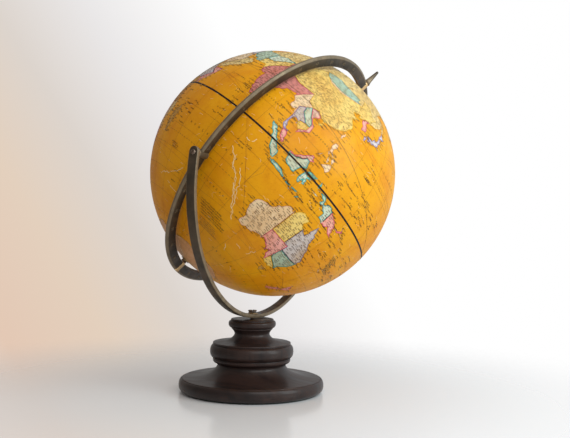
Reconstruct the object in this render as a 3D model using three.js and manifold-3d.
// Desktop globe on a stand: a 12 inch terrestrial globe in a full meridian ring, which swings on two
// pivots in a half-round cradle, which is bolted to a turned wooden base.
//
// Millimetres, +Z up. The origin is on the base's axis, at the face it rests on. The cradle's pivots
// lie along Y, the front one towards -Y.

import * as THREE from 'three';
import { mergeVertices } from 'three/addons/utils/BufferGeometryUtils.js';
import Module from 'manifold-3d';

const wasm = await Module();
wasm.setup();

// ---------------------------------------------------------------- driving dimensions

// Clearances
const FIT_GAP = 0.3; // between pieces that touch or turn in each other
const SWING_CLEARANCE = 0.5; // between the ring's rim and the head of the base bolt

// Globe
const GLOBE_RADIUS = 152.4; // a 12 inch ball
const SHELL_WALL = 2.6;
const HOOP_WALL = 3;
const HOOP_HEIGHT = 24;

// Pole fittings
const PIN_RADIUS = 1.5;
const PIN_REACH = 9; // how far a pole pin runs into the ball, from its surface
const PIN_HEAD_RADIUS = 2.7;
const PIN_HEAD_HEIGHT = 1.2;
const GROMMET_WALL = 1;
const GROMMET_FLANGE_RADIUS = 6.2;
const GROMMET_FLANGE = 0.8;
const GROMMET_REACH = 5; // below the ball's surface
const POLE_WASHER_RADIUS = 3.4;
const FINIAL_RADIUS = 4.7;
const FINIAL_LENGTH = 22;
const FINIAL_TIP_RADIUS = 1.6;
const FINIAL_SOCKET = 8;

// Meridian ring
const RING_GAP = 4.8; // from the ball to the ring's inner edge
const RING_WIDTH = 13.4; // inner edge to rim
const RING_THICKNESS = 5.4;
const RING_BEVEL = 2.4; // how far in from the rim the side faces turn to the bevel
const RING_RIM_FLAT = 1.8;
const RING_EASING = 0.5; // small bevel on the inner corners
const POLE_TILT = 23.5; // degrees from the ring's top to the north pole, away from the front pivot
const POLE_BOSS_RADIUS = 3.9;
const PIVOT_BOSS_RADIUS = 4.7;
const PIVOT_BOSS_PROUD = 3.6; // beyond the rim

// Cradle
const CRADLE_GAP = 5.8; // from the ring's rim to the cradle's inner face
const CRADLE_THICKNESS = 4.8;
const CRADLE_WIDTH = 11.2;
const CRADLE_EASING = 0.8;
const CRADLE_END = 6.6; // from the pivot to the rounded end

// Pivots
const PIVOT_SCREW_RADIUS = 1.7;
const PIVOT_HEAD_RADIUS = 3.1;
const PIVOT_HEAD_HEIGHT = 1.7;
const PIVOT_SCREW_END = 3; // how far the screw stops short of the ring's inner edge
const PIVOT_WASHER_RADIUS = 4.5;

// How it stands at rest
const LEAN = 6.1; // degrees, the cradle's plane leans towards +X on its loose bolt
const ROCK = 3.8; // degrees, the front pivot is carried higher than the rear one
const RING_SWING = 30.5; // degrees, the ring's top is swung out of the cradle's plane towards +X

// Base bolt
const BOLT_RADIUS = 2.4;
const BOLT_HEAD_RADIUS = 5.4;
const BOLT_HEAD_EASING = 0.6;
const BOLT_END = 3; // past the nut
const SEAT_WASHER_RADIUS = 6;
const SEAT_WASHER_THICKNESS = 1;
const NUT_RADIUS = 4.6; // across the corners is twice this
const NUT_HEIGHT = 4;
const BASE_WASHER_RADIUS = 9;
const BASE_WASHER_THICKNESS = 1.4;

// Turned base
const FELT_THICKNESS = 1.5;
const FELT_INSET = 1.6; // from the foot's lower edge
const FOOT_RADIUS = 90.2;
const FOOT_BEAD_HEIGHT = 16.4;
const FOOT_HEIGHT = 34.9; // where the pedestal stands on the foot
const COVE_RADIUS = 42.7;
const COUNTERBORE_RADIUS = 13;
const COUNTERBORE_DEPTH = 11;
const TENON_RADIUS = 19;
const TENON_LENGTH = 18;
const PEDESTAL_BEAD_RADIUS = 52.1;
const NECK_RADIUS = 21.9;
const TOP_BEAD_RADIUS = 29.6;
const TOP_RADIUS = 26.4;
const PEDESTAL_HEIGHT = 55; // from its seat on the foot to its flat top
const BASE_BORE_CLEARANCE = 0.6; // round the bolt's shank

// How finely round pieces are cut
const BASE_SEGMENTS = 40;
const RING_SEGMENTS = 96;
const BALL_SEGMENTS = 36;
const BALL_STEPS = 9; // along a quarter meridian
const SMALL_SEGMENTS = 16;
const CURVE_STEPS = 2;

// ---------------------------------------------------------------- sizes that follow from them

const rad = THREE.MathUtils.degToRad;
const ringInner = GLOBE_RADIUS + RING_GAP;
const ringOuter = ringInner + RING_WIDTH;
const cradleInner = ringOuter + CRADLE_GAP;
const cradleOuter = cradleInner + CRADLE_THICKNESS;
const shellInner = GLOBE_RADIUS - SHELL_WALL;
const baseHeight = FOOT_HEIGHT + FIT_GAP + PEDESTAL_HEIGHT;

// The leaning cradle touches down on one edge, so its middle stands clear of the base by this much.
const seatRise =
  FIT_GAP + cradleOuter * (1 - Math.cos(rad(ROCK))) + (CRADLE_WIDTH / 2) * Math.sin(rad(LEAN));
const seatHeight = baseHeight + seatRise;

// The whole tilt between the bolt and the cradle.
const seatTilt = Math.acos(Math.cos(rad(LEAN)) * Math.cos(rad(ROCK)));
const pinHole = PIN_RADIUS + FIT_GAP;
const pivotHole = PIVOT_SCREW_RADIUS + FIT_GAP;
const pivotBossEnd = ringOuter + PIVOT_BOSS_PROUD;
const poleBossStart = ringInner - 0.6;
const poleBossEnd = ringOuter - 0.2;
const shellHole = pinHole + GROMMET_WALL + FIT_GAP;

// ---------------------------------------------------------------- solids

// A closed, merged geometry whose faces point out.
function closed(geometry) {
  geometry.deleteAttribute('normal');
  geometry.deleteAttribute('uv');
  const merged = mergeVertices(geometry, 1e-4);
  const place = merged.getAttribute('position');
  const index = Array.from(merged.getIndex().array);
  const kept = [];
  let volume = 0;
  const a = new THREE.Vector3();
  const b = new THREE.Vector3();
  const c = new THREE.Vector3();
  for (let i = 0; i < index.length; i += 3) {
    const [p, q, r] = index.slice(i, i + 3);
    if (p === q || q === r || r === p) {
      continue;
    }
    kept.push(p, q, r);
    a.fromBufferAttribute(place, p);
    b.fromBufferAttribute(place, q);
    c.fromBufferAttribute(place, r);
    volume += a.dot(b.cross(c));
  }
  merged.setIndex(volume < 0 ? kept.reverse() : kept);
  return merged;
}

function toSolid(geometry) {
  const mesh = closed(geometry.clone());
  return new wasm.Manifold(
    new wasm.Mesh({
      numProp: 3,
      vertProperties: new Float32Array(mesh.getAttribute('position').array),
      triVerts: new Uint32Array(mesh.getIndex().array),
    }),
  );
}

function toGeometry(solid) {
  const mesh = solid.getMesh();
  const geometry = new THREE.BufferGeometry();
  geometry.setAttribute('position', new THREE.BufferAttribute(new Float32Array(mesh.vertProperties), 3));
  geometry.setIndex(new THREE.BufferAttribute(new Uint32Array(mesh.triVerts), 1));
  return geometry;
}

// An outline of radius and height, turned about Z.
function turned(outline, segments) {
  return new THREE.LatheGeometry(outline, segments).rotateX(Math.PI / 2);
}

// An outline from [radius, height] pairs. A ring closes on itself.
function outlineOf(pairs) {
  return pairs.map(([radius, height]) => new THREE.Vector2(radius, height));
}

function ringOutline(pairs) {
  return outlineOf([...pairs, pairs[0]]);
}

// A rod along Z from one height to another.
function rod(radius, from, to, segments = SMALL_SEGMENTS) {
  return turned(outlineOf([[0, from], [radius, from], [radius, to], [0, to]]), segments);
}

// A washer or tube along Z.
function tube(inner, outer, from, to, segments = SMALL_SEGMENTS) {
  return turned(ringOutline([[inner, from], [outer, from], [outer, to], [inner, to]]), segments);
}

function box(width, depth, height, x, y, z) {
  return new THREE.BoxGeometry(width, depth, height).translate(x, y, z);
}

// Turns something built along +Z so that it points along +Y or -Y.
function alongY(geometry, sign) {
  return geometry.rotateX((-sign * Math.PI) / 2);
}

// Turns something built along +Z so that it points to a pole, within the ring's frame.
function alongPole(geometry, sign) {
  if (sign < 0) {
    geometry.rotateX(Math.PI);
  }
  return geometry.rotateX(-rad(POLE_TILT));
}

// ---------------------------------------------------------------- finishes

const FINISHES = {
  bronze: { color: 0x4a4032, roughness: 0.45, metalness: 0.6 },
  screw: { color: 0x5a4a38, roughness: 0.35, metalness: 0.8 },
  brass: { color: 0x9a7b46, roughness: 0.35, metalness: 0.9 },
  walnut: { color: 0x2c1d18, roughness: 0.35, metalness: 0 },
  felt: { color: 0x1c2420, roughness: 0.95, metalness: 0 },
  fibre: { color: 0x6b4a2c, roughness: 0.8, metalness: 0 },
  map: { color: 0xd9920f, roughness: 0.35, metalness: 0 },
  board: { color: 0xa58a62, roughness: 0.9, metalness: 0 },
  steel: { color: 0x8c8c8a, roughness: 0.4, metalness: 0.9 },
};

function piece(name, geometry, finish) {
  const mesh = new THREE.Mesh(closed(geometry), new THREE.MeshStandardMaterial(FINISHES[finish]));
  mesh.name = name;
  return mesh;
}

// ---------------------------------------------------------------- base

function feltPad() {
  const radius = FOOT_RADIUS - 4 - FELT_INSET;
  return piece('base_felt', rod(radius, 0, FELT_THICKNESS, BASE_SEGMENTS), 'felt');
}

const footBottom = FELT_THICKNESS + FIT_GAP;
const boreRadius = BOLT_RADIUS + BASE_BORE_CLEARANCE;
const counterboreTop = footBottom + COUNTERBORE_DEPTH;

// The foot: a rounded bead round its edge, a shallow sweep inwards, and a cove under the pedestal.
function foot() {
  const socketFloor = FOOT_HEIGHT - TENON_LENGTH - FIT_GAP;
  const socketRadius = TENON_RADIUS + FIT_GAP;
  const edge = FOOT_RADIUS;
  const top = FOOT_BEAD_HEIGHT;
  const path = new THREE.Path();
  path.moveTo(COUNTERBORE_RADIUS, footBottom);
  path.lineTo(edge - 4, footBottom);
  path.quadraticCurveTo(edge, footBottom + 1.6, edge, top * 0.53);
  path.quadraticCurveTo(edge, top - 2.4, edge - 2.6, top);
  path.lineTo(edge - 4, top + 0.7);
  path.bezierCurveTo(edge - 26, top + 2, COVE_RADIUS + 8, top + 5, COVE_RADIUS + 1.9, FOOT_HEIGHT - 5.7);
  path.quadraticCurveTo(COVE_RADIUS - 0.7, FOOT_HEIGHT - 3, COVE_RADIUS + 0.7, FOOT_HEIGHT);
  path.lineTo(socketRadius, FOOT_HEIGHT);
  path.lineTo(socketRadius, socketFloor);
  path.lineTo(boreRadius, socketFloor);
  path.lineTo(boreRadius, counterboreTop);
  path.lineTo(COUNTERBORE_RADIUS, counterboreTop);
  path.lineTo(COUNTERBORE_RADIUS, footBottom);
  return piece('base_foot', turned(path.getPoints(CURVE_STEPS), BASE_SEGMENTS), 'walnut');
}

// The pedestal: a lip and a broad bead, a sweep up to the neck, a small bead and a flat top.
function pedestal() {
  const seat = FOOT_HEIGHT + FIT_GAP;
  const tenonEnd = FOOT_HEIGHT - TENON_LENGTH;
  const bead = PEDESTAL_BEAD_RADIUS;
  const top = baseHeight;
  const path = new THREE.Path();
  path.moveTo(boreRadius, tenonEnd);
  path.lineTo(TENON_RADIUS, tenonEnd);
  path.lineTo(TENON_RADIUS, seat);
  path.lineTo(COVE_RADIUS + 1.1, seat);
  path.quadraticCurveTo(bead - 4.4, seat + 1, bead - 3.7, seat + 4);
  path.lineTo(bead - 3.7, seat + 5.6);
  path.lineTo(bead - 3.1, seat + 7);
  path.quadraticCurveTo(bead, seat + 9.6, bead, seat + 14.8);
  path.quadraticCurveTo(bead, seat + 20.2, bead - 3.8, seat + 23.2);
  path.lineTo(bead - 4.4, seat + 24);
  path.lineTo(bead - 3.5, seat + 24.4);
  path.lineTo(bead - 3.5, seat + 25.8);
  path.bezierCurveTo(bead - 14, seat + 26.9, NECK_RADIUS + 2.2, seat + 27.6, NECK_RADIUS, top - 18.6);
  path.quadraticCurveTo(NECK_RADIUS, top - 16, TOP_BEAD_RADIUS - 4.2, top - 12.6);
  path.lineTo(TOP_BEAD_RADIUS - 3.8, top - 11.2);
  path.quadraticCurveTo(TOP_BEAD_RADIUS, top - 9.6, TOP_BEAD_RADIUS, top - 6);
  path.quadraticCurveTo(TOP_BEAD_RADIUS, top - 2.8, TOP_RADIUS + 0.8, top - 2.3);
  path.lineTo(TOP_RADIUS, top - 1.6);
  path.lineTo(TOP_RADIUS, top - 0.4);
  path.lineTo(TOP_RADIUS - 0.6, top);
  path.lineTo(boreRadius, top);
  path.lineTo(boreRadius, tenonEnd);
  return piece('base_pedestal', turned(path.getPoints(CURVE_STEPS), BASE_SEGMENTS), 'walnut');
}

// The bolt stands upright, while the washer under its head leans with the cradle.
const washerTop = CRADLE_THICKNESS + FIT_GAP + SEAT_WASHER_THICKNESS;
const headBottom =
  seatHeight + washerTop * Math.cos(seatTilt) + BOLT_HEAD_RADIUS * Math.sin(seatTilt) + FIT_GAP;
const headTop =
  seatHeight + (cradleOuter - ringOuter - SWING_CLEARANCE) - BOLT_HEAD_RADIUS * Math.sin(seatTilt);
const washerUnderside = counterboreTop - FIT_GAP - BASE_WASHER_THICKNESS;
const nutBottom = washerUnderside - FIT_GAP - NUT_HEIGHT;

function baseBolt() {
  const easing = BOLT_HEAD_EASING;
  const shank = rod(BOLT_RADIUS, nutBottom - BOLT_END, headBottom + 0.1);
  const head = turned(
    outlineOf([
      [0, headBottom],
      [BOLT_HEAD_RADIUS - easing, headBottom],
      [BOLT_HEAD_RADIUS, headBottom + easing],
      [BOLT_HEAD_RADIUS, headTop - easing],
      [BOLT_HEAD_RADIUS - easing, headTop],
      [0, headTop],
    ]),
    SMALL_SEGMENTS + 4,
  );
  const slotWidth = 1.3;
  const slotDepth = 1;
  const slot = box(slotWidth, 3 * BOLT_HEAD_RADIUS, 2 * slotDepth, 0, 0, headTop);
  const bolt = toSolid(head).add(toSolid(shank)).subtract(toSolid(slot));
  return piece('base_bolt', toGeometry(bolt), 'screw');
}

function boltWasher() {
  const hole = BOLT_RADIUS + FIT_GAP;
  const washer = tube(hole, BASE_WASHER_RADIUS, washerUnderside, washerUnderside + BASE_WASHER_THICKNESS);
  return piece('bolt_washer', washer, 'steel');
}

function boltNut() {
  const sides = 6;
  const block = rod(NUT_RADIUS, nutBottom, nutBottom + NUT_HEIGHT, sides);
  const hole = rod(BOLT_RADIUS + FIT_GAP, nutBottom - 1, nutBottom + NUT_HEIGHT + 1);
  return piece('bolt_nut', toGeometry(toSolid(block).subtract(toSolid(hole))), 'steel');
}

// ---------------------------------------------------------------- cradle
// Built round the globe's centre, with the cradle in the YZ plane.

// The hole that lets the upright bolt through a piece that leans, up to a height above the seat.
function leaningHole(height) {
  return BOLT_RADIUS / Math.cos(seatTilt) + height * Math.tan(seatTilt) + FIT_GAP;
}

function cradle() {
  const half = CRADLE_WIDTH / 2;
  const ease = CRADLE_EASING;
  const bar = turned(
    ringOutline([
      [cradleInner, -half + ease],
      [cradleInner, half - ease],
      [cradleInner + ease, half],
      [cradleOuter - ease, half],
      [cradleOuter, half - ease],
      [cradleOuter, -half + ease],
      [cradleOuter - ease, -half],
      [cradleInner + ease, -half],
    ]),
    RING_SEGMENTS,
  ).rotateY(Math.PI / 2);
  const reach = 2 * cradleOuter;
  const endCentre = CRADLE_END - half;
  const below = box(reach, 2 * reach, reach, 0, 0, endCentre - reach / 2);
  const roundEnds = rod(half, -reach, reach, 2 * SMALL_SEGMENTS)
    .rotateX(Math.PI / 2)
    .translate(0, 0, endCentre);
  const pivotHoles = rod(pivotHole, -reach, reach).rotateX(Math.PI / 2);
  const boltHole = rod(leaningHole(CRADLE_THICKNESS), -reach, -cradleInner / 2);
  const strap = toSolid(bar)
    .intersect(toSolid(below).add(toSolid(roundEnds)))
    .subtract(toSolid(pivotHoles))
    .subtract(toSolid(boltHole));
  return piece('cradle', toGeometry(strap), 'bronze');
}

function seatWasher() {
  const lower = -cradleOuter + CRADLE_THICKNESS + FIT_GAP;
  const washer = tube(leaningHole(washerTop), SEAT_WASHER_RADIUS, lower, lower + SEAT_WASHER_THICKNESS);
  return piece('seat_washer', washer, 'screw');
}

// ---------------------------------------------------------------- meridian ring and its pivots

function meridianRing() {
  const half = RING_THICKNESS / 2;
  const flat = RING_RIM_FLAT / 2;
  const shoulder = ringOuter - RING_BEVEL;
  const band = turned(
    ringOutline([
      [ringInner, -half + RING_EASING],
      [ringInner, half - RING_EASING],
      [ringInner + RING_EASING, half],
      [shoulder, half],
      [ringOuter, flat],
      [ringOuter, -flat],
      [shoulder, -half],
      [ringInner + RING_EASING, -half],
    ]),
    RING_SEGMENTS,
  ).rotateY(Math.PI / 2);
  let ring = toSolid(band);
  for (const sign of [-1, 1]) {
    ring = ring.add(toSolid(alongY(rod(PIVOT_BOSS_RADIUS, ringInner + 0.1, pivotBossEnd), sign)));
    ring = ring.add(toSolid(alongPole(rod(POLE_BOSS_RADIUS, poleBossStart, poleBossEnd), sign)));
  }
  for (const sign of [-1, 1]) {
    ring = ring.subtract(toSolid(alongY(rod(pivotHole, ringInner - 2, pivotBossEnd + 1), sign)));
    ring = ring.subtract(toSolid(alongPole(rod(pinHole, poleBossStart - 1, poleBossEnd + 1), sign)));
  }
  const headSeat = rod(PIN_HEAD_RADIUS + FIT_GAP, poleBossEnd - PIN_HEAD_HEIGHT - FIT_GAP, poleBossEnd + 1);
  ring = ring.subtract(toSolid(alongPole(headSeat, -1)));
  return piece('meridian_ring', toGeometry(ring), 'bronze');
}

function pivotScrew(name, sign) {
  const seat = cradleOuter + FIT_GAP;
  const top = seat + PIVOT_HEAD_HEIGHT;
  const radius = PIVOT_HEAD_RADIUS;
  const screw = turned(
    outlineOf([
      [0, ringInner + PIVOT_SCREW_END],
      [PIVOT_SCREW_RADIUS, ringInner + PIVOT_SCREW_END],
      [PIVOT_SCREW_RADIUS, seat],
      [radius, seat],
      [radius * 0.96, seat + PIVOT_HEAD_HEIGHT * 0.45],
      [radius * 0.7, seat + PIVOT_HEAD_HEIGHT * 0.85],
      [0, top],
    ]),
    SMALL_SEGMENTS,
  );
  const slotWidth = 0.9;
  const slotDepth = 0.6;
  const slot = box(3 * radius, slotWidth, 2 * slotDepth, 0, 0, top);
  const cut = toSolid(screw).subtract(toSolid(slot));
  return piece(name, alongY(toGeometry(cut), sign), 'screw');
}

function pivotWasher(name, sign) {
  const washer = tube(pivotHole, PIVOT_WASHER_RADIUS, pivotBossEnd + FIT_GAP, cradleInner - FIT_GAP);
  return piece(name, alongY(washer, sign), 'brass');
}

// ---------------------------------------------------------------- pole fittings
// Built round the globe's centre with the polar axis along Z; sign is 1 for north, -1 for south.

function towardsPole(geometry, sign) {
  return sign < 0 ? geometry.rotateX(Math.PI) : geometry;
}

const pinStart = GLOBE_RADIUS - PIN_REACH;

function northPin() {
  const end = poleBossEnd + FINIAL_SOCKET - 2 * FIT_GAP;
  return piece('north_pin', rod(PIN_RADIUS, pinStart, end), 'steel');
}

function southPin() {
  const headStart = poleBossEnd - PIN_HEAD_HEIGHT;
  const pin = turned(
    outlineOf([
      [0, pinStart],
      [PIN_RADIUS, pinStart],
      [PIN_RADIUS, headStart],
      [PIN_HEAD_RADIUS, headStart],
      [PIN_HEAD_RADIUS, poleBossEnd],
      [0, poleBossEnd],
    ]),
    SMALL_SEGMENTS,
  );
  return piece('south_pin', towardsPole(pin, -1), 'steel');
}

// A slim spike that flares over the end of the north boss and holds the pin in its socket.
function northFinial() {
  const foot = ringOuter + FIT_GAP;
  const tip = foot + FINIAL_LENGTH;
  const path = new THREE.Path();
  path.moveTo(0, foot + FINIAL_SOCKET);
  path.lineTo(pinHole, foot + FINIAL_SOCKET);
  path.lineTo(pinHole, foot);
  path.lineTo(FINIAL_RADIUS - 0.4, foot);
  path.lineTo(FINIAL_RADIUS, foot + 0.6);
  path.quadraticCurveTo(FINIAL_RADIUS - 0.9, foot + 3, FINIAL_RADIUS - 1.3, foot + 5);
  path.lineTo(FINIAL_TIP_RADIUS, tip - FINIAL_TIP_RADIUS);
  path.quadraticCurveTo(FINIAL_TIP_RADIUS, tip, 0, tip);
  return piece('north_finial', turned(path.getPoints(CURVE_STEPS), SMALL_SEGMENTS), 'bronze');
}

function poleWasher(name, sign) {
  const from = GLOBE_RADIUS + GROMMET_FLANGE + 2 * FIT_GAP;
  const washer = tube(pinHole, POLE_WASHER_RADIUS, from, poleBossStart - FIT_GAP);
  return piece(name, towardsPole(washer, sign), 'fibre');
}

function poleGrommet(name, sign) {
  const outer = pinHole + GROMMET_WALL;
  const seat = GLOBE_RADIUS + FIT_GAP;
  const eyelet = turned(
    ringOutline([
      [pinHole, GLOBE_RADIUS - GROMMET_REACH],
      [outer, GLOBE_RADIUS - GROMMET_REACH],
      [outer, seat],
      [GROMMET_FLANGE_RADIUS, seat],
      [GROMMET_FLANGE_RADIUS - 0.4, seat + GROMMET_FLANGE],
      [pinHole, seat + GROMMET_FLANGE],
    ]),
    SMALL_SEGMENTS,
  );
  return piece(name, towardsPole(eyelet, sign), 'brass');
}

// ---------------------------------------------------------------- ball

// One half of the ball: a shell from the equator up to the hole at its pole.
function shell(name, sign) {
  const lift = FIT_GAP / 2; // half of the joint at the equator
  const arc = (radius, from, to) => {
    const points = [];
    for (let step = 0; step <= BALL_STEPS; step += 1) {
      const latitude = THREE.MathUtils.lerp(from, to, step / BALL_STEPS);
      points.push([radius * Math.cos(latitude), radius * Math.sin(latitude)]);
    }
    return points;
  };
  const outside = arc(GLOBE_RADIUS, Math.asin(lift / GLOBE_RADIUS), Math.acos(shellHole / GLOBE_RADIUS));
  const inside = arc(shellInner, Math.acos(shellHole / shellInner), Math.asin(lift / shellInner));
  const half = turned(ringOutline([...outside, ...inside]), BALL_SEGMENTS);
  return piece(name, towardsPole(half, sign), 'map');
}

// The hoop inside the ball that the two halves are glued to.
function joiningHoop() {
  const inset = shellInner * (1 - Math.cos(Math.PI / BALL_SEGMENTS)); // the shell's flats come this far in
  const edge = Math.sqrt(shellInner ** 2 - (HOOP_HEIGHT / 2) ** 2);
  const outer = edge - inset - FIT_GAP;
  const hoop = tube(outer - HOOP_WALL, outer, -HOOP_HEIGHT / 2, HOOP_HEIGHT / 2, BALL_SEGMENTS);
  return piece('joining_hoop', hoop, 'board');
}

// ---------------------------------------------------------------- assembly

const globeOnStand = new THREE.Group();
globeOnStand.add(feltPad(), foot(), pedestal(), baseBolt(), boltWasher(), boltNut());

// Everything above the base leans about the seat.
const leaning = new THREE.Group();
leaning.position.set(0, 0, seatHeight);
leaning.rotation.set(-rad(ROCK), rad(LEAN), 0, 'YXZ');
globeOnStand.add(leaning);

const centre = new THREE.Group();
centre.position.set(0, 0, cradleOuter);
centre.add(cradle(), seatWasher());
leaning.add(centre);

// The ring swings about Y.
const swinging = new THREE.Group();
swinging.rotation.y = rad(RING_SWING);
swinging.add(
  meridianRing(),
  pivotScrew('pivot_screw_front', -1),
  pivotScrew('pivot_screw_rear', 1),
  pivotWasher('pivot_washer_front', -1),
  pivotWasher('pivot_washer_rear', 1),
);
centre.add(swinging);

// The ball spins about the polar axis.
const polar = new THREE.Group();
polar.rotation.x = -rad(POLE_TILT);
polar.add(
  northPin(),
  southPin(),
  northFinial(),
  poleWasher('north_washer', 1),
  poleWasher('south_washer', -1),
  poleGrommet('north_grommet', 1),
  poleGrommet('south_grommet', -1),
  shell('north_shell', 1),
  shell('south_shell', -1),
  joiningHoop(),
);
swinging.add(polar);

export default globeOnStand;
